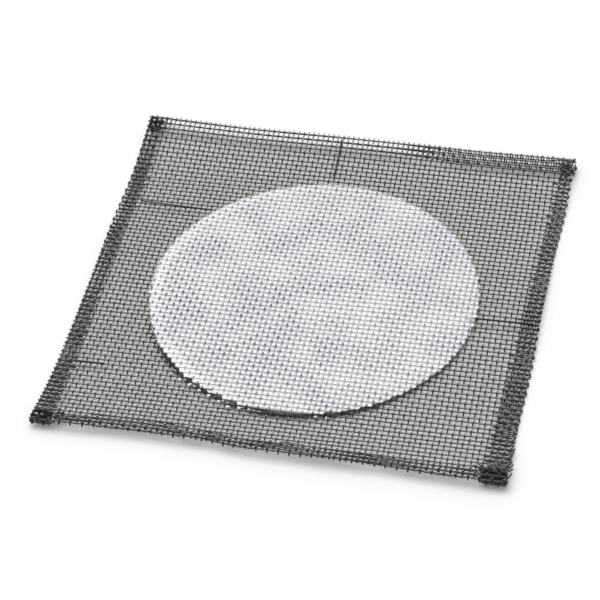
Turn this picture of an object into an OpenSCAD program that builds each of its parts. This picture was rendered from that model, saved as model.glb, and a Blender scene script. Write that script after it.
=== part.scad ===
// Wire gauze with a ceramic centre: a square of plain-woven iron wire cloth,
// its four edges folded under as hems and its far and near sides turned up a
// little, with a round ceramic disc pressed into the cloth from both faces.
// X runs along the near edge, Y away from it and Z up. The gauze lies on the
// undersides of its left and right hems, which are at Z = 0.

/* [Cloth] */
// Side of the finished square
side = 125; // [110:1:150]
// Thickness of one layer of cloth, which is two wires deep
cloth_t = 0.74; // [0.6:0.02:1]
// Openings between the hems across the square, each for about six real ones
cells_x = 14; // [10:1:14]
// Openings between the hems from near to far
cells_y = 13; // [9:1:13]
// Width of one strand of the weave
strand_w = 1.6; // [1.2:0.1:2.4]
// Thickness of one strand
strand_t = 0.42; // [0.36:0.02:0.5]
// How far a strand rises over the one it crosses, and dips under the next
crimp = 0.16; // [0.12:0.01:0.18]

/* [Hems] */
// Width of a hem
hem_w = 6; // [5:0.5:8]
// Air left between two folded layers
fold_gap = 0.05; // [0.05:0.05:0.2]
// Ridges of folded wire on a hem, to each opening of the weave
ridges = 3; // [2:1:4]
// Height of a ridge
ridge_h = 0.2; // [0.1:0.05:0.25]

/* [Turned-up sides] */
// How far in from its edge a side begins to curve, hem included
turn_len = 24; // [16:1:28]
// Slope of the far edge
far_turn = 15; // [13:1:20]
// Slope of the near edge
near_turn = 13; // [13:1:20]

/* [Ceramic disc] */
// Diameter of the ceramic
disc_d = 90; // [60:1:92]
// Thickness of the ceramic, through the cloth
disc_t = 1.4; // [1.2:0.1:2.3]
// Bevel round both of its rims
disc_bevel = 0.3; // [0.1:0.05:0.4]
// How far the disc sits right of the cloth's middle
disc_right = 0.6; // [-3:0.1:3]
// How far the disc sits in front of the cloth's middle
disc_near = 1.1; // [-3:0.1:3]
// Width of the ring in which the two coats of ceramic join
key_w = 1.5; // [1:0.25:4]

/* [Hidden] */

$fn = 16;
// small step that keeps two faces out of one plane where shapes are joined
step = 0.03;
// how far one shape runs into the next
bite = 1;
// how far a strand stays level past the one it crosses, or past a hem
level_past = 0.2;

layer = cloth_t + fold_gap;                 // from one folded layer to the next
cloth_z = cloth_t / 2 + layer;              // middle of the cloth's top layer
flat = side / 2 - turn_len;                 // half of the level stretch
hem_in = side / 2 - hem_w;                  // across, the hems' inner edges
far_r = turn_len / sin(far_turn);           // radius of each turned-up side
near_r = turn_len / sin(near_turn);
far_out = flat + far_r * far_turn * PI / 180;     // along the cloth, its edges
near_out = flat + near_r * near_turn * PI / 180;
far_in = far_out - hem_w;                   // along the cloth, the hems' inner edges
near_in = near_out - hem_w;
pitch_x = 2 * hem_in / cells_x;
pitch_y = (far_in + near_in) / cells_y;

// slope of the cloth at s along it, and its side view's point [y, z] h above its middle
function slope(s) =
    s > flat ? (s - flat) / far_r * 180 / PI : s < -flat ? (s + flat) / near_r * 180 / PI : 0;
function spot(s, h) =
    let (a = slope(s))
    s > flat ? [flat + (far_r - h) * sin(a), far_r - (far_r - h) * cos(a)]
    : s < -flat ? [-flat + (near_r - h) * sin(a), near_r - (near_r - h) * cos(a)]
    : [s, h];

// 1 over an even crossing and -1 under an odd one
function over(i) = i % 2 == 0 ? 1 : -1;
// a strand's stations [place along it, height], level where it crosses another
function stations(start, cells, pitch, first) = concat(
    [[start - bite, 0], [start + level_past, 0]],
    [for (k = [1 : cells - 1]) for (e = [-1, 1])
        [start + k * pitch + e * (strand_w / 2 + level_past), over(first + k) * crimp]],
    [[start + cells * pitch - level_past, 0], [start + cells * pitch + bite, 0]]);
function reverse(list) = [for (k = [len(list) - 1 : -1 : 0]) list[k]];

// one lengthwise strand, over and under all the crosswise ones
module warp_strand(i) {
    path = stations(-near_in, cells_y, pitch_y, i);
    top = [for (p = path) spot(p[0], p[1] + strand_t / 2)];
    low = [for (p = path) spot(p[0], p[1] - strand_t / 2)];
    translate([-hem_in + i * pitch_x - strand_w / 2, 0, 0])
        rotate([90, 0, 90]) linear_extrude(strand_w) polygon(concat(top, reverse(low)));
}

// one crosswise strand, which passes the other way at every crossing
module weft_strand(j) {
    path = stations(-hem_in, cells_x, pitch_x, j + 1);
    top = [for (p = path) p + [0, strand_t / 2]];
    low = [for (p = path) p - [0, strand_t / 2]];
    s = -near_in + j * pitch_y;
    place = spot(s, 0);
    translate([0, place[0], place[1]]) rotate([slope(s) + 90, 0, 0])
        translate([0, 0, -strand_w / 2]) linear_extrude(strand_w)
            polygon(concat(top, reverse(low)));
}

module warps() { for (i = [1 : cells_x - 1]) warp_strand(i); }

module wefts() { for (j = [1 : cells_y - 1]) weft_strand(j); }

// the cloth where the ceramic covers it, closed instead of open
module covered_cloth() {
    translate([disc_right, -disc_near, 0])
        cylinder(d = disc_d - 2 * key_w, h = cloth_t + 2 * step, center = true);
}

// section of folded cloth with its outer edge at x = 0: one fold makes two layers,
// and a fold over folded cloth makes four
module fold_section(layers, width, cut) {
    drop = (layers - 1) * layer / 2;
    r = drop + cloth_t / 2 - cut;
    translate([-width, -drop - r]) square([width - r, 2 * r]);
    translate([-r, -drop]) circle(r);
}

// section of a hem between its ridges, open between its two layers
module hem_section() {
    difference() {
        fold_section(2, hem_w, ridge_h);
        translate([-hem_w - bite, -(layer + fold_gap) / 2])
            square([hem_w + bite - cloth_t, fold_gap]);
    }
}

// outline [place along a hem, height] of its upper half, with a row of ridges on it
function ridged(start, count, pitch) = concat(
    [for (k = [0 : count - 1]) for (e = [-1, 0, 1])
        [start + (k + 0.5 + 0.45 * e) * pitch, cloth_t / 2 - (e == 0 ? 0 : ridge_h + step)]],
    [for (k = [count : -1 : -1]) [start + (k + 0.5) * pitch, 0]]);

// half of a left or right hem, level and then turned up with the cloth
module side_hem(r, turn) {
    translate([0, flat, 0]) rotate([90, 0, 0]) linear_extrude(flat) hem_section();
    translate([0, flat, r]) rotate([0, 90, 0])
        rotate_extrude(angle = turn) translate([r, 0]) rotate(90) hem_section();
}

// the ridges over and under a left or right hem
module side_ridges() {
    half = ridged(-near_in, cells_y * ridges, pitch_y / ridges);
    for (m = [1, -1]) {
        outline = [for (p = half) spot(p[0], (m - 1) / 2 * layer + m * p[1])];
        translate([-hem_w + step, 0, 0]) rotate([90, 0, 90])
            linear_extrude(hem_w - layer - step) polygon(outline);
    }
}

// a far or near hem and its two corners, where four layers lie on each other
module end_hem(s, turn) {
    edge = spot(s, 0);
    corner_w = hem_w + step;
    corner_r = (layer + cloth_t) / 2;
    half = ridged(-hem_in, cells_x * ridges, pitch_x / ridges);
    translate([0, abs(edge[0]), edge[1]]) rotate([turn, 0, 0]) {
        rotate([90, 0, 90]) linear_extrude(2 * (hem_in + bite), center = true) hem_section();
        for (m = [1, -1]) translate([0, -layer, (m - 1) / 2 * layer]) rotate([90, 0, 0])
            linear_extrude(hem_w - layer - step)
                polygon([for (p = half) [p[0], m * p[1]]]);
        for (m = [0, 1]) mirror([m, 0, 0]) translate([side / 2, 0, step]) intersection() {
            translate([-corner_w, step, 0]) rotate([90, 0, 90]) linear_extrude(corner_w)
                fold_section(4, corner_w + step, 0);
            translate([0, bite, 0]) rotate([90, 0, 0]) linear_extrude(hem_w + 2 * bite) {
                translate([-corner_w - bite, -cloth_t / 2 - 3 * layer])
                    square([corner_w + bite - corner_r, 3 * layer + cloth_t]);
                for (k = [0, 2]) translate([-corner_r, -(k + 0.5) * layer]) circle(corner_r);
            }
        }
    }
}

module wire_cloth() {
    far_mid = slope(far_out - hem_w / 2);
    near_mid = -slope(-near_out + hem_w / 2);
    color([0.25, 0.26, 0.27]) translate([0, 0, cloth_z]) {
        warps();
        wefts();
        covered_cloth();
        for (m = [0, 1]) mirror([m, 0, 0]) translate([side / 2, 0, 0]) {
            side_hem(far_r, slope(far_in + bite));
            mirror([0, 1, 0]) side_hem(near_r, -slope(-near_in - bite));
            side_ridges();
        }
        end_hem(far_out, far_mid);
        mirror([0, 1, 0]) end_hem(-near_out, near_mid);
    }
}

module ceramic_disc() {
    r = disc_d / 2;
    h = disc_t / 2;
    color([0.93, 0.94, 0.95]) translate([0, 0, cloth_z]) difference() {
        translate([disc_right, -disc_near, 0]) rotate_extrude($fn = 128)
            polygon([[0, -h], [r - disc_bevel, -h], [r, -h + disc_bevel],
                     [r, h - disc_bevel], [r - disc_bevel, h], [0, h]]);
        warps();
        wefts();
        covered_cloth();
    }
}

wire_cloth();
ceramic_disc();
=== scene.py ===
import math

import bpy
import numpy as np
from mathutils import Matrix, Vector


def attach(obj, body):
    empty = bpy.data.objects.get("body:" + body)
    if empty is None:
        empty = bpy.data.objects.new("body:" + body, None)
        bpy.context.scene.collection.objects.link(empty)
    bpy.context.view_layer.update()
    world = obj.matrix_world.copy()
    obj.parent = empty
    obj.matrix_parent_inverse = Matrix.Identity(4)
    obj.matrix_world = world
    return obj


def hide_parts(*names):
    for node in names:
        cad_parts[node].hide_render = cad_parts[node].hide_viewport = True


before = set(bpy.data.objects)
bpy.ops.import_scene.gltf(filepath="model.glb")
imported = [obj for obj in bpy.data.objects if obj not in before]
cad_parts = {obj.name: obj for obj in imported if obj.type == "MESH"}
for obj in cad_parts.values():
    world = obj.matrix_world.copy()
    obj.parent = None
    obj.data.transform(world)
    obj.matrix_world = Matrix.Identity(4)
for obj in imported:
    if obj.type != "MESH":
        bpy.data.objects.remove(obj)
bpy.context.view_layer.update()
bpy.ops.object.select_all(action="DESELECT")
MM = 0.001

# ---- Camera ------------------------------------------------------------------
# A long lens looks down on the gauze from its near right, at half a right angle,
# and is tipped a few degrees, so that the square lies askew in the frame.
aim = Vector((-2.0, -6.25, 4.0)) * MM
azimuth, elevation, roll = math.radians(-15.34), math.radians(43.98), math.radians(-3.92)
towards = Vector((-math.sin(azimuth) * math.cos(elevation),
                  -math.cos(azimuth) * math.cos(elevation), math.sin(elevation)))
level = Vector((0, 0, 1)).cross(towards).normalized()
upright = towards.cross(level)
right = math.cos(roll) * level + math.sin(roll) * upright
up = math.cos(roll) * upright - math.sin(roll) * level
bpy.ops.object.camera_add()
camera = bpy.context.object
camera.matrix_world = Matrix((
    (right.x, up.x, towards.x, 0), (right.y, up.y, towards.y, 0),
    (right.z, up.z, towards.z, 0), (0, 0, 0, 1)))
camera.location = aim + 714.5 * MM * towards
camera.data.sensor_width = 36
camera.data.lens = 157.6
bpy.context.scene.camera = camera

# ---- Lengthwise wires ----------------------------------------------------------
# Drawn iron wire, the warp of the cloth: it runs from the near edge to the far one,
# over and under the crosswise wires, and turns under at both ends with the hems.
wire_d = 0.44 * MM
wire_sides = 6                                # of the section it is drawn with
side = 125 * MM
pitch_x, pitch_y = 1.473 * MM, 1.647 * MM    # between lengthwise and between crosswise wires
wires_long, wires_cross = 92, 84              # hems and all
off_grain = math.radians(1.3)                 # how far the weave is turned from the hems
wander = 0.05 * MM                            # of each wire from its even place
crest_long, crest_cross = 0.38 * MM, 0.06 * MM    # together a wire thick: they touch
off_centre = -0.57 * MM                       # of the weave: more of it is under on the left
hem_slip = 0.35 * MM                          # of the left hem's under side, along the edge
hem_sway = 0.3 * MM                           # more of it, to and fro along both side hems
far_slip = (0.7 * MM, 0.8 * MM)               # of the far hem's under side, on its right half
slip_grows = (8 * MM, 36 * MM)                # there, from none of it to all
near_left_true, far_true = 0.85, 0.95         # how much of off_grain is lost there
near_cut = (4.4 * MM, 0)                      # cut off its near edge, at the left and right
far_cut = (1.8 * MM, 0.9 * MM)                # cut off its far edge
left_cut = (0.3 * MM, 3.0 * MM)               # cut off its left edge, at the near and far end
frayed = 1.3 * MM                             # how far crosswise ends stick out of the cut edges

# The cloth's edges turn under, the left and right ones first and the far and near
# ones over them. Inside its hems it lies flat, and its far and near sides curve up.
cloth_z = 1.24 * MM                           # height of its middle
fold_r = 0.31 * MM                            # left and right, half the way between layers
end_fold_r = 0.24 * MM                        # far and near
corner_fold_r = 0.95 * MM                     # there, round the two layers of a side hem
corner_in = (7 * MM, 5 * MM)                  # in from a side's fold, where a corner's widens
loop_near, loop_far = 0.45, -0.4              # how much more the wires stand out at these folds
loop_w = 1.2 * MM
flat_len = 38.5 * MM
far_len, far_turn = 24.28 * MM, math.radians(15)
near_len, near_turn = 24.21 * MM, math.radians(13)
fold_x = side / 2 - fold_r - crest_cross - wire_d / 2     # where each fold starts
fold_far = flat_len + far_len - end_fold_r - wire_d / 2
fold_near = flat_len + near_len - end_fold_r - wire_d / 2
sheet_x, sheet_y = (wires_long - 1) * pitch_x / 2, (wires_cross - 1) * pitch_y / 2


def woven(name, along, across, pitches, first, count, crossings, crest):
    """Some wires of one family, flat: two neighbours over two crossings are drawn and repeated."""
    step, apart = pitches
    steps_up = (1, 0, -1, -1, 0, 1)          # three rings to a crossing, level over it
    parts = []
    for k in (0, 1):
        rise = crest * (1 if (first + k) % 2 == 0 else -1)
        place = across * apart * (first + k) - along * step / 2
        bpy.ops.mesh.primitive_circle_add(
            vertices=wire_sides, radius=wire_d / 2, location=place,
            rotation=(math.pi / 2, 0, math.pi / 2 * along.x))
        wire = bpy.context.object
        bpy.ops.object.mode_set(mode="EDIT")
        for up_now in steps_up:
            bpy.ops.mesh.extrude_region_move(
                TRANSFORM_OT_translate={"value": along * step / 3 + Vector((0, 0, rise * up_now))})
        bpy.ops.object.mode_set(mode="OBJECT")
        bpy.ops.object.transform_apply()
        repeat(wire, along * 2 * step, crossings // 2, True)
        parts.append(wire)
    parts[0].select_set(True)
    bpy.ops.object.join()
    cloth = bpy.context.object
    cloth.name = cloth.data.name = name
    repeat(cloth, across * 2 * apart, count // 2, False)
    bpy.ops.object.mode_set(mode="EDIT")
    bpy.ops.mesh.select_mode(type="VERT")
    bpy.ops.mesh.select_all(action="DESELECT")
    bpy.ops.object.mode_set(mode="OBJECT")
    # the cloth's near, far and left edges are cut askew, square across each wire, and
    # the crosswise wires are left longer there by uneven lengths
    points = np.empty(len(cloth.data.vertices) * 3)
    cloth.data.vertices.foreach_get("co", points)
    points = points.reshape(-1, 3)
    number = np.round(points @ across / apart)
    place = np.outer(points @ along, along) + np.outer(number * apart, across)
    spare = wire_d + along.x * frayed * (0.5 + 0.5 * np.sin(2.4 * number))
    share_x, share_y = place[:, 0] / (2 * sheet_x), place[:, 1] / (2 * sheet_y)
    past_near = place[:, 1] + wire_d < near_cut[0] * (1 - share_x) + near_cut[1] * share_x
    past_far = (place[:, 1] - wire_d
                > 2 * sheet_y - far_cut[0] * (1 - share_x) - far_cut[1] * share_x)
    past_left = place[:, 0] + spare < left_cut[0] * (1 - share_y) + left_cut[1] * share_y
    past_right = place[:, 0] - spare > 2 * sheet_x
    cloth.data.vertices.foreach_set("select", past_near | past_far | past_left | past_right)
    bpy.ops.object.mode_set(mode="EDIT")
    bpy.ops.mesh.delete(type="VERT")
    bpy.ops.mesh.select_non_manifold()
    bpy.ops.mesh.fill_holes(sides=wire_sides)
    bpy.ops.mesh.select_all(action="SELECT")
    bpy.ops.mesh.normals_make_consistent(inside=False)
    bpy.ops.mesh.faces_shade_smooth()
    bpy.ops.object.mode_set(mode="OBJECT")
    cloth.select_set(False)
    return cloth


def repeat(piece, offset, count, merge):
    """Repeats a piece in a row, its copies joined end to end if merge is set."""
    bpy.context.view_layer.objects.active = piece
    row = piece.modifiers.new("row", "ARRAY")
    row.use_relative_offset = False
    row.use_constant_offset = True
    row.constant_offset_displace = offset
    row.count = count
    row.use_merge_vertices = merge
    row.merge_threshold = wire_d / 100
    bpy.ops.object.modifier_apply(modifier=row.name)


def bent(out, height, bends):
    """Side view of a bent strip: where points at out along it and height above it come to.
    Each bend is where it starts, how long it is and how far it turns up."""
    run, rise, slope = np.minimum(out, bends[0][0]), 0, 0
    turned = 0
    for k, (start, length, turn) in enumerate(bends):
        rate = turn / length
        within = rate * np.clip(out - start, 0, length)
        slope = slope + within
        run = run + (np.sin(turned + within) - np.sin(turned)) / rate
        rise = rise + (np.cos(turned) - np.cos(turned + within)) / rate
        turned = turned + turn
        straight = bends[k + 1][0] - start - length if k + 1 < len(bends) else side
        beyond = np.clip(out - start - length, 0, straight)
        run = run + beyond * np.cos(turned)
        rise = rise + beyond * np.sin(turned)
    return run - height * np.sin(slope), rise + height * np.cos(slope)


def smooth(value, low, high):
    """0 below low, 1 above high and a smooth rise between."""
    t = np.clip((value - low) / (high - low), 0, 1)
    return t * t * (3 - 2 * t)


def eased(place, values):
    """A smooth curve through values at even places across the gauze."""
    t = np.clip(place / side + 0.5, 0, 0.9999) * (len(values) - 1)
    k = t.astype(int)
    share = smooth(t - k, 0, 1)
    values = np.array(values) * MM
    return values[k] * (1 - share) + values[k + 1] * share


# how far each side bows out, at five places from left to right or from near to far
left_bow = (0.5, 0, -0.25, -0.25, 0.4)
right_bow = (1.5, 1.1, 0.8, 0.8, 0.6)
far_bow = (0.4, -0.3, 0.3, 0.5, 1.3)
near_bow = (-1.1, -2.1, -0.9, -0.7, -0.5)
# the cloth rises in a low arch along its middle row, by this much from left to right
arch = (1.1, 0.6, 0.4, 0.7, 0.7)
arch_y, arch_half = 6 * MM, 30 * MM           # where that row is, and how far the arch reaches


def turned(points):
    """Points of the flat sheet, turned with the weave against the gauze's sides. At the
    near left the lengthwise wires run along the side, and the crosswise ones far off do."""
    x, y, z = points.T
    grain = 1 - near_left_true * smooth(-x, 10 * MM, 60 * MM) * (y < 0)
    row_grain = 1 - far_true * smooth(y, 38 * MM, 57 * MM)
    return np.stack([x + off_centre - y * grain * math.sin(off_grain),
                     x * row_grain * math.sin(off_grain) + y * math.cos(off_grain), z], axis=1)


def wandering(points):
    """Points of the flat sheet, with every wire a little out of its even place."""
    x, y, z = points.T
    i = np.round((x + sheet_x) / pitch_x)
    j = np.round((y + sheet_y) / pitch_y)
    aside = np.sin(i * 12.99) + np.sin(i * 4.7 + y / (7 * MM))
    onward = np.sin(j * 78.23) + np.sin(j * 5.3 + x / (9 * MM))
    return np.stack([x + wander * aside, y + wander * onward, z], axis=1)


def folded(points):
    """Points of the flat sheet, in line with its sides and above its middle, on the gauze."""
    x, y, z = points.T
    left, far = x < 0, y > 0
    slip = np.where(left, hem_slip, 0) + hem_sway * np.sin(y / (8 * MM)) * np.sin(y / (3 * MM))
    y = y + slip * np.clip((np.abs(x) - fold_x) / (fold_r * math.pi), 0, 1)
    x, z = bent(np.abs(x), z, [(fold_x, fold_r * math.pi, -math.pi)])
    four = smooth(x, fold_x - corner_in[0], fold_x - corner_in[1])
    x = x + (x / fold_x) ** 4 * np.where(left, eased(y, left_bow), eased(y, right_bow))
    x = np.where(left, -x, x)
    radius = end_fold_r + four * (corner_fold_r - end_fold_r)
    start = np.where(far, fold_far, fold_near + eased(x, near_bow))
    start = start - radius + end_fold_r
    slipped = np.clip((np.abs(y) - start) / (radius * math.pi), 0, 1) * far * smooth(x, *slip_grows)
    x, y = x + far_slip[0] * slipped, y + far_slip[1] * slipped
    # the wires stand out as loops where they go round the near fold, and lie close at the far one
    z = z * (1 + np.where(far, loop_far, loop_near) * np.exp(-((np.abs(y) - start) / loop_w) ** 2))
    y, z = bent(np.abs(y), z, [(flat_len, start - flat_len, np.where(far, far_turn, near_turn)),
                               (start, radius * math.pi, -math.pi)])
    y = np.where(far, y + (y / fold_far) ** 4 * eased(x, far_bow), -y)
    share = 0.5 + 0.5 * np.cos(math.pi * np.clip((y - arch_y) / arch_half, -1, 1))
    return np.stack([x, y, z + cloth_z + eased(x, arch) * share], axis=1)


def formed(points):
    """Points of the flat sheet, in line with its weave, on the gauze."""
    return folded(turned(wandering(points)))


def reshape(piece, change):
    """Moves every vertex of a piece to where change(points) puts it."""
    points = np.empty(len(piece.data.vertices) * 3)
    piece.data.vertices.foreach_get("co", points)
    piece.data.vertices.foreach_set("co", change(points.reshape(-1, 3)).ravel())
    piece.data.update()


class Value:
    """A shader socket. Sums, differences and products of it add Math nodes."""

    def __init__(self, paint, socket):
        self.paint, self.socket = paint, socket

    def math(self, operation, *values):
        return self.paint.node("ShaderNodeMath", {"operation": operation}, dict(enumerate(values)))

    def __add__(self, other):
        return self.math("ADD", self, other)

    def __sub__(self, other):
        return self.math("SUBTRACT", self, other)

    def __rsub__(self, other):
        return self.math("SUBTRACT", other, self)

    def __mul__(self, other):
        return self.math("MULTIPLY", self, other)

    __radd__, __rmul__ = __add__, __mul__

    def absolute(self):
        return self.math("ABSOLUTE", self)

    def clamped(self):
        """No more than 1."""
        return self.math("MINIMUM", self, 1)

    def ramp(self, low, high):
        """0 below low, 1 above high and a smooth rise between."""
        return self.paint.node(
            "ShaderNodeMapRange", {"interpolation_type": "SMOOTHSTEP"},
            {"Value": self, "From Min": low, "From Max": high}, "Result")


class Paint:
    """A material being mixed: node() adds a node and hands back one of its outputs."""

    def __init__(self, name):
        self.material = bpy.data.materials.new(name)
        self.material.use_nodes = True
        self.tree = self.material.node_tree
        self.shader = self.tree.nodes["Principled BSDF"]

    def node(self, kind, settings=None, sockets=None, output=0):
        made = self.tree.nodes.new(kind)
        for key, value in (settings or {}).items():
            setattr(made, key, value)
        for key, value in (sockets or {}).items():
            self.put(made.inputs[key], value)
        return Value(self, made.outputs[output])

    def put(self, socket, value):
        if isinstance(value, Value):
            self.tree.links.new(value.socket, socket)
        else:
            socket.default_value = value

    def place(self):
        return self.node("ShaderNodeTexCoord", output="Object")

    def flat_place(self):
        """The place as seen from above, all at one height."""
        return self.node("ShaderNodeVectorMath", {"operation": "MULTIPLY"},
                         {0: self.place(), 1: (1, 1, 0)})

    def distance(self, place, point):
        return self.node("ShaderNodeVectorMath", {"operation": "DISTANCE"},
                         {0: place, 1: point}, "Value")

    def part(self, vector, axis):
        return self.node("ShaderNodeSeparateXYZ", None, {"Vector": vector}, axis)

    def noise(self, size, detail=3.0):
        """Cloudy noise whose spots are about size across."""
        return self.node("ShaderNodeTexNoise", None,
                         {"Vector": self.place(), "Scale": 1 / size, "Detail": detail})

    def mix(self, share, low, high):
        """A colour between two, by share."""
        mixed = self.node("ShaderNodeMix", {"data_type": "RGBA"})
        made = mixed.socket.node
        self.put(made.inputs["Factor"], share)
        for key, value in (("A", low), ("B", high)):
            slots = [s for s in made.inputs if s.name == key and s.type == "RGBA"]
            self.put(slots[0], value if isinstance(value, Value) else (*value, 1))
        return Value(self, [s for s in made.outputs if s.type == "RGBA"][0])

    def set(self, **sockets):
        for key, value in sockets.items():
            self.put(self.shader.inputs[key.replace("_", " ")], value)

    def bump(self, height, strength, distance):
        self.set(Normal=self.node("ShaderNodeBump", None,
                                  {"Height": height, "Strength": strength, "Distance": distance},
                                  "Normal"))


coat_at = (0.5 * MM, -0.9 * MM, 0)            # middle of the ceramic
coat_r = 45.1 * MM
bared_at = (-36 * MM, -8 * MM, 0)             # middle of a patch where the wires show most
blotch = 12 * MM                              # across the coat's thick and thin spots
left_edge = (-58.5 * MM, -56.5 * MM)          # the inner edge of each hem, where its looks change
right_edge = (56 * MM, 58 * MM)
near_edge = (-60 * MM, -57 * MM)
far_edge = (56.5 * MM, 58.5 * MM)
rim_edge = (coat_r + 1.3 * MM, coat_r + 2.2 * MM)         # of the strip along the ceramic's near rim, whose wires are painted in shadow
painted_lit = (0.62, 0.62, 0.62)                    # painted light: iron on the slopes that face the far side
painted_dark = (0.015, 0.016, 0.018)                 # painted shade: iron in the hems and beside the ceramic's near rim
clinging = (0.85, 0.85, 0.86)                 # ceramic on the slopes of the wires


def iron(name, low, crest, under_coat, far_hem, painted_lit=painted_lit):
    """Blackened iron wire, painted with light and shade as if lit from its far side: colour low on its
    near side is painted shade, crest on top and painted_lit on its far slopes are painted light,
    far_hem in the far hem's left half and under_coat where the ceramic lies on it."""
    paint = Paint(name)
    tarnish = paint.noise(6 * MM).ramp(0.35, 0.7)
    bare = paint.mix(tarnish, low, [2 * part for part in low])
    lean = paint.node("ShaderNodeVectorMath", {"operation": "DOT_PRODUCT"},
                      {0: paint.node("ShaderNodeTexCoord", output="Normal"), 1: (0, 1, 0)}, "Value")
    # painted shade and light: sides that face the near side keep colour low, tops and far sides take
    # crest
    side_lit = paint.mix(lean.ramp(-0.5, -0.1), bare, crest)
    # painted light: the slopes that face the far side are painted pale, as if lit from there.
    # Painted shade takes that off and darkens the side and near hems and a strip along the ceramic's
    # near rim.
    flat_place = paint.flat_place()
    x, y = paint.part(flat_place, "X"), paint.part(flat_place, "Y")
    out = paint.distance(flat_place, coat_at)
    painted_shade = (0.35 * (1 - x.ramp(*left_edge))
             + 0.3 * x.ramp(*right_edge) * (1 - y.ramp(0, 30 * MM))
             + 0.35 * (1 - y.ramp(*near_edge))
             + 0.95 * (1 - out.ramp(*rim_edge)) * (1 - y.ramp(-25 * MM, -8 * MM)))
    lit_iron = paint.mix(lean.ramp(0.0, 0.3) * (1 - lean.ramp(0.55, 0.75)), side_lit, painted_lit)
    lit_iron = paint.mix(0.85 * y.ramp(*far_edge) * (1 - x.ramp(0, 25 * MM)), lit_iron, far_hem)
    coated = 1 - (out + 0.8 * MM * paint.noise(1.5 * MM)).ramp(coat_r, coat_r + 0.8 * MM)
    # the ceramic clings to the slopes, and lies on the crests in uneven patches
    bared = paint.distance(flat_place, bared_at)
    patch = (0.7 * paint.noise(2.5 * MM) + 1.05 * paint.noise(blotch)
             - 0.2 * (1 - bared.ramp(5 * MM, 12 * MM))).ramp(0.6, 1.15)
    patchy = paint.mix(patch, [0.6 * part for part in under_coat],
                       [3 * part for part in under_coat])
    under = paint.mix(lean.absolute().ramp(0.2, 0.7), patchy, clinging)
    # painted shade: near-black wires in the side and near hems, where the layers shade each other, and
    # beside the ceramic's near rim
    shaded_iron = paint.mix(painted_shade.clamped(), lit_iron, painted_dark)
    paint.set(Specular_IOR_Level=0.2, Base_Color=paint.mix(coated, shaded_iron, under),
              Roughness=0.45 + 0.2 * paint.noise(2 * MM) + 0.2 * coated)
    return paint.material


across, along = Vector((1, 0, 0)), Vector((0, 1, 0))
half = wires_long // 2


def finish_wires(piece, material):
    """Bends flat wires into the gauze's shape and paints them."""
    reshape(piece, lambda p: formed(p - np.array((sheet_x, sheet_y, 0))))
    piece.data.materials.append(material)
    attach(piece, "root")
    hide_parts("wire_cloth")


# near sides painted dark as shade, tops and far slopes painted pale as light
lengthwise_iron = iron("lengthwise iron wire", low=(0.015, 0.015, 0.016), crest=(0.1, 0.1, 0.1),
                       under_coat=(0.17, 0.17, 0.18), far_hem=(0.38, 0.38, 0.38))
for name, first in (("lengthwise_wires_left", 0), ("lengthwise_wires_right", half)):
    wires = woven(name, along, across, (pitch_y, pitch_x), first, half, wires_cross, crest_long)
    finish_wires(wires, lengthwise_iron)

# ---- Crosswise wires -----------------------------------------------------------
# The weft: the same wire, beaten in between the lengthwise ones. It is crimped
# less, so its lines run nearly straight from the left hem to the right one.
half = wires_cross // 2
to_fray = 2                                   # crossings that it is longer, before it is cut
# near sides painted dark as shade, tops and far slopes painted pale as light
crosswise_iron = iron("crosswise iron wire", low=(0.08, 0.08, 0.082), crest=(0.29, 0.29, 0.29),
                      under_coat=(0.05, 0.05, 0.054), far_hem=(0.02, 0.02, 0.02))
for name, first in (("crosswise_wires_near", 0), ("crosswise_wires_far", half)):
    wires = woven(name, across, along, (pitch_x, pitch_y), first, half,
                  wires_long + to_fray, -crest_cross)
    finish_wires(wires, crosswise_iron)

# ---- Loose wires ----------------------------------------------------------------
# Wires of the same iron that slipped out of the cut edges. Four stretches lie on the
# cloth in line with its weave, short ends are crumpled in the folded corners, and a
# few stick out of the fold at the near end of the right side.
laid_z = crest_long + 1.2 * wire_d                  # of a wire that lies on the cloth
# ends of each stretch, in the weave's own lines
laid = (((-54.7, 28.8), (-33.5, 27.9)), ((-2.5, 60.5), (-2.3, 46.9)),
        ((43.5, -4.8), (61.4, -4.9)), ((-57.0, -36.0), (-48.5, -36.0)))
# corners, in the gauze's own lines: middle of a bunch, how far it spreads and its count of ends
bunches = (((58.8, -58.6), (3.2, 1.0), 46), ((60.6, 58.4), (1.2, 2.3), 30),
           ((-57.8, -59.4), (3.4, 0.8), 26), ((-59.8, 58.6), (1.4, 2.2), 22))
bunch_low = np.array((-61.4, -60.2, 0.4)) * MM      # their ends stay short of the folds
bunch_high = np.array((61.6, 61.2, 1.5)) * MM
bend_len, bend_turn = 0.55, 1.2                     # of a crumpled end, from point to point
stuck_out, stuck_from, stuck_apart = 9, -49.5, -1.45    # ends out of the right side, and where
stuck_points = (0, 0.3, 0.55, 0.8, 1)               # along each of those
rng = np.random.default_rng(7)


def loose_wire(points):
    """A wire drawn along five points."""
    bpy.ops.curve.primitive_nurbs_path_add()
    wire = bpy.context.object
    for spot, point in zip(wire.data.splines[0].points, points):
        spot.co = (*point, 1)
    wire.data.bevel_depth = wire_d / 2
    wire.data.bevel_resolution = 1
    wire.data.resolution_u = 3
    wire.data.use_fill_caps = True
    bpy.ops.object.convert(target="MESH")
    wire = bpy.context.object
    wire.select_set(False)
    return wire


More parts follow.
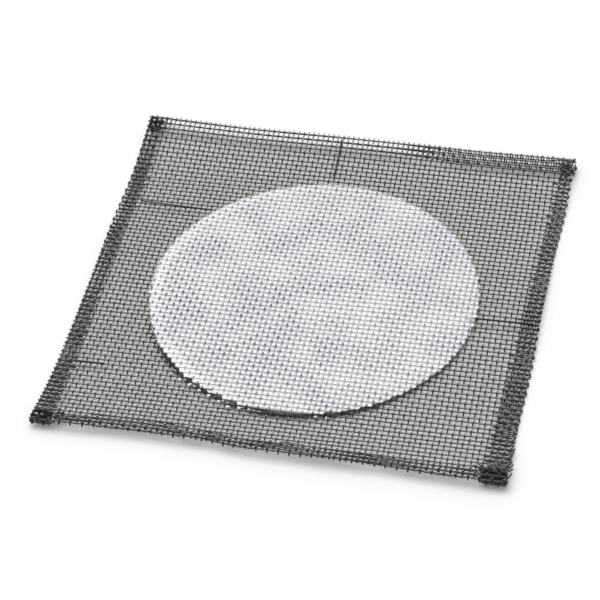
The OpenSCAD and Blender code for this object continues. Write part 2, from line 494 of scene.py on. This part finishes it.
loose = []
for start, end in laid:
    start, end = np.array((*start, 0)) * MM, np.array((*end, 0)) * MM
    loose.append(loose_wire([start + (end - start) * k / 4 + (0, 0, laid_z) for k in range(5)]))
    reshape(loose[-1], formed)
for middle, spread, count in bunches:
    for _ in range(count):
        spot = np.append(np.array(middle) + rng.uniform(-1, 1, 2) * spread, rng.uniform(0.4, 1.1)) * MM
        way = rng.uniform(0, math.pi)
        points = []
        for _ in range(5):
            spot = np.clip(spot, bunch_low, bunch_high)
            points.append(spot)
            way = way + rng.uniform(-bend_turn, bend_turn)
            onward = np.array((math.cos(way), math.sin(way), rng.uniform(-0.4, 0.4)))
            spot = spot + onward * bend_len * MM
        loose.append(loose_wire(points))
        reshape(loose[-1], folded)
# the ends that stick out start at the height of the turned-up cloth
for k in range(stuck_out):
    y = (stuck_from + stuck_apart * k) * MM
    z = 1.0 * MM + (abs(y) - flat_len) ** 2 / (2 * near_len / near_turn)
    reach = rng.uniform(1.2, 2.4) * MM
    loose.append(loose_wire([(side / 2 + reach * t, y + reach * t * t * rng.uniform(0.2, 1.0),
                              z + 0.3 * reach * t * t) for t in stuck_points]))
for wire in loose:
    wire.select_set(True)
bpy.context.view_layer.objects.active = loose[0]
bpy.ops.object.join()
loose = bpy.context.object
loose.name = loose.data.name = "loose_wires"
bpy.ops.object.mode_set(mode="EDIT")
bpy.ops.mesh.select_all(action="SELECT")
bpy.ops.mesh.remove_doubles(threshold=wire_d / 100)
bpy.ops.mesh.normals_make_consistent(inside=False)
bpy.ops.mesh.faces_shade_smooth()
bpy.ops.object.mode_set(mode="OBJECT")
bpy.ops.object.transform_apply()
loose.select_set(False)
loose.data.materials.clear()
# near sides painted dark as shade, tops and far slopes painted pale as light
loose.data.materials.append(iron(
    "loose iron wire", low=(0.012, 0.012, 0.013), crest=(0.09, 0.09, 0.09),
    under_coat=(0.1, 0.1, 0.1), far_hem=(0.02, 0.02, 0.02), painted_lit=(0.4, 0.4, 0.4)))
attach(loose, "root")
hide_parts("wire_cloth")

# ---- Ceramic coat --------------------------------------------------------------
# White ceramic, pressed into the cloth from both faces as a paste and fired. It
# fills the openings up to the wires, whose crests show through as grey lines. Along
# its near rim it runs out as a strip painted dark as shadow, and ends in a few crumbs.
samples = 3                                   # of the grid, to each opening
cols, rows = 64, 56                           # openings that the grid spans
apart = 2 * MM                                # its faces, before they are shaped
ragged_w, shadow_strip_w = 0.25 * MM, 0.8 * MM        # how far its rim wavers, and its strip painted as shadow runs out
crumb_out, crumb_row = 1.7 * MM, 0.5 * pitch_y            # past its rim, and half the row's width
bpy.ops.mesh.primitive_grid_add(x_subdivisions=cols * samples,
                                y_subdivisions=rows * samples, size=1)
coat = bpy.context.object
coat.name = coat.data.name = "ceramic_coat"
first_x = round((coat_at[0] + sheet_x) / pitch_x) - cols // 2
first_y = round((coat_at[1] + sheet_y) / pitch_y) - rows // 2
coat.scale = (cols * pitch_x, rows * pitch_y, 1)
coat.location = ((first_x + cols / 2) * pitch_x - sheet_x,
                 (first_y + rows / 2) * pitch_y - sheet_y, 0)
bpy.ops.object.transform_apply()


def cells_covered(points):
    """Whether the coat fills the bit of an opening that holds each point."""
    x, y, _ = turned(points).T
    x, y = x - coat_at[0], y - coat_at[1]
    out = np.hypot(x, y)
    across_x, across_y = (points[:, 0] + sheet_x) / pitch_x, (points[:, 1] + sheet_y) / pitch_y
    i, j = np.floor(across_x), np.floor(across_y)
    ragged = ragged_w * np.sin(i * 12.9898 + j * 78.233)
    # past the near left rim the coat runs on as a strip, which is painted dark as shadow
    shadow_strip = shadow_strip_w * smooth(-y, 22 * MM, 30 * MM) * smooth(-x, -30 * MM, -15 * MM)
    # a crumb fills the middle of every other opening in the row past the near rim
    middle = (np.mod(across_x, 1) * samples >= 1) & (np.floor(np.mod(across_y, 1) * samples) == 1)
    crumbs = middle & (i % 2 == 0) & (y < -0.83 * coat_r) & (x < 0.3 * coat_r) & (
        np.abs(out - coat_r - crumb_out) < crumb_row)
    return (out + ragged < coat_r + shadow_strip) | crumbs


def clouds(x, y):
    """Slow ups and downs of the coat's surface, from -1 to 1."""
    return 0.5 * (np.sin(x / (4.1 * MM) + 1.3 * np.sin(y / (6.3 * MM)))
                  * np.cos(y / (3.4 * MM) + 1.1 * np.sin(x / (7.7 * MM) + 2))
                  + np.sin(x / (9.7 * MM) + y / (8.2 * MM)))


centres = np.empty(len(coat.data.polygons) * 3)
coat.data.polygons.foreach_get("center", centres)
bpy.ops.object.mode_set(mode="EDIT")
bpy.ops.mesh.select_mode(type="FACE")
bpy.ops.mesh.select_all(action="DESELECT")
bpy.ops.object.mode_set(mode="OBJECT")
coat.data.polygons.foreach_set("select", ~cells_covered(centres.reshape(-1, 3)))
bpy.ops.object.mode_set(mode="EDIT")
bpy.ops.mesh.delete(type="FACE")
bpy.ops.mesh.select_all(action="SELECT")
bpy.ops.mesh.extrude_region_move(TRANSFORM_OT_translate={"value": (0, 0, -apart)})
bpy.ops.mesh.select_all(action="SELECT")
bpy.ops.mesh.normals_make_consistent(inside=False)
bpy.ops.mesh.faces_shade_smooth()
bpy.ops.object.mode_set(mode="OBJECT")


def coated(points):
    """Points of the flat coat, on the gauze and on its clouds, its thick band and its lumps."""
    x, y, upper = points[:, 0], points[:, 1], points[:, 2] > -apart / 2
    place = turned(points)
    out = np.hypot(place[:, 0] - coat_at[0], place[:, 1] - coat_at[1])
    thick = smooth(out, coat_r - 5 * MM, coat_r - 2 * MM) * smooth(-x - 0.3 * y, 0, 30 * MM)
    lump = np.sin(np.mod((x + sheet_x) / pitch_x, 1) * math.pi) * np.sin(
        np.mod((y + sheet_y) / pitch_y, 1) * math.pi)
    height = 0.06 * MM * clouds(x, y) + 0.16 * MM * thick + 0.1 * MM * lump
    return formed(np.stack([x, y, np.where(upper, height, -height)], axis=1))


reshape(coat, coated)
ceramic = Paint("ceramic")


def in_opening(axis, count):
    """How far a point is from the middle of its opening, in openings: half of one at a wire."""
    number = ceramic.part(ceramic.node("ShaderNodeTexCoord", output="UV"), axis) * count
    return number.math("FRACT", number) - 0.5


# the coat is thin beside the wires, and grey with the iron under it
over_iron = (0.42, 0.43, 0.45)
aside, onward = in_opening("X", cols), in_opening("Y", rows)
thin = 0.95 * onward.absolute().ramp(0.20, 0.42) + 0.6 * aside.absolute().ramp(0.26, 0.42)
# it is thicker in a band along its left rim
place = ceramic.flat_place()
out = ceramic.distance(place, coat_at)
band = (out.ramp(coat_r - 4 * MM, coat_r - 2 * MM)
        * (1 - ceramic.part(place, "X").ramp(-25 * MM, 5 * MM)))
thin = thin.clamped() * (1.35 - 0.6 * ceramic.noise(blotch).ramp(0.3, 0.7)) * (1 - 0.7 * band)
cloud = ceramic.noise(blotch).ramp(0.35, 0.65)
lump = ceramic.mix(cloud, (0.89, 0.91, 0.95), (0.97, 0.97, 0.96))
# along the near rim, openings whose middle is past its radius are painted dark, as the shadow beside
# the rim
from_middle = ceramic.node("ShaderNodeCombineXYZ", None,
                           {"X": aside * pitch_x, "Y": onward * pitch_y})
middle = ceramic.node("ShaderNodeVectorMath", {"operation": "SUBTRACT"}, {0: place, 1: from_middle})
shadow_strip = (ceramic.distance(middle, coat_at).ramp(coat_r - 0.05 * MM, coat_r)
        * (1 - out.ramp(coat_r + shadow_strip_w, coat_r + 1.0 * MM))
        * (1 - ceramic.part(place, "Y").ramp(-30 * MM, -22 * MM)))
# painted shadow: near black, unevenly
rim_shadow = ceramic.mix(ceramic.noise(3 * MM).ramp(0.45, 0.6), (0.02, 0.025, 0.024),
                    (0.09, 0.095, 0.095))
ceramic.set(Base_Color=ceramic.mix(shadow_strip, ceramic.mix(thin, lump, over_iron), rim_shadow),
            Roughness=0.85)
ceramic.bump(ceramic.noise(0.3 * MM), 0.3, 0.05 * MM)
coat.data.materials.append(ceramic.material)
coat.select_set(False)
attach(coat, "root")
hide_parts("ceramic_disc")

# ---- Floor and light -----------------------------------------------------------
# A pale floor that shows white to the camera and keeps the gauze's shadow, under a
# broad soft lamp overhead, a little to the left, and an even sky.
bpy.ops.mesh.primitive_plane_add(size=6, location=(0, 0, -0.02 * MM))
floor = bpy.context.object
floor.name = "floor"
pale = Paint("pale floor")
# white to the camera, also in and through what is shiny or clear
seen = (pale.node("ShaderNodeLightPath", output="Is Camera Ray")
        + pale.node("ShaderNodeLightPath", output="Is Glossy Ray")
        + pale.node("ShaderNodeLightPath", output="Is Transmission Ray")).clamped()
pale.set(Base_Color=pale.mix(seen, (0.8, 0.8, 0.8), (1.0, 1.0, 1.0)), Roughness=1.0,
         Specular_IOR_Level=0.0)
floor.data.materials.append(pale.material)

bpy.ops.object.light_add(type="AREA", location=(-0.1, 0.0, 1.05))
lamp = bpy.context.object
lamp.data.shape = "DISK"
lamp.data.size = 1.0
lamp.data.energy = 6.7
lamp.matrix_world = (Matrix.Translation(lamp.location)
                     @ lamp.location.to_track_quat("Z", "Y").to_matrix().to_4x4())

sky = bpy.data.worlds.new("sky")
sky.use_nodes = True
sky.node_tree.nodes["Background"].inputs["Color"].default_value = (1, 1, 1, 1)
sky.node_tree.nodes["Background"].inputs["Strength"].default_value = 0.54
bpy.context.scene.world = sky
bpy.context.scene.view_settings.view_transform = "Standard"
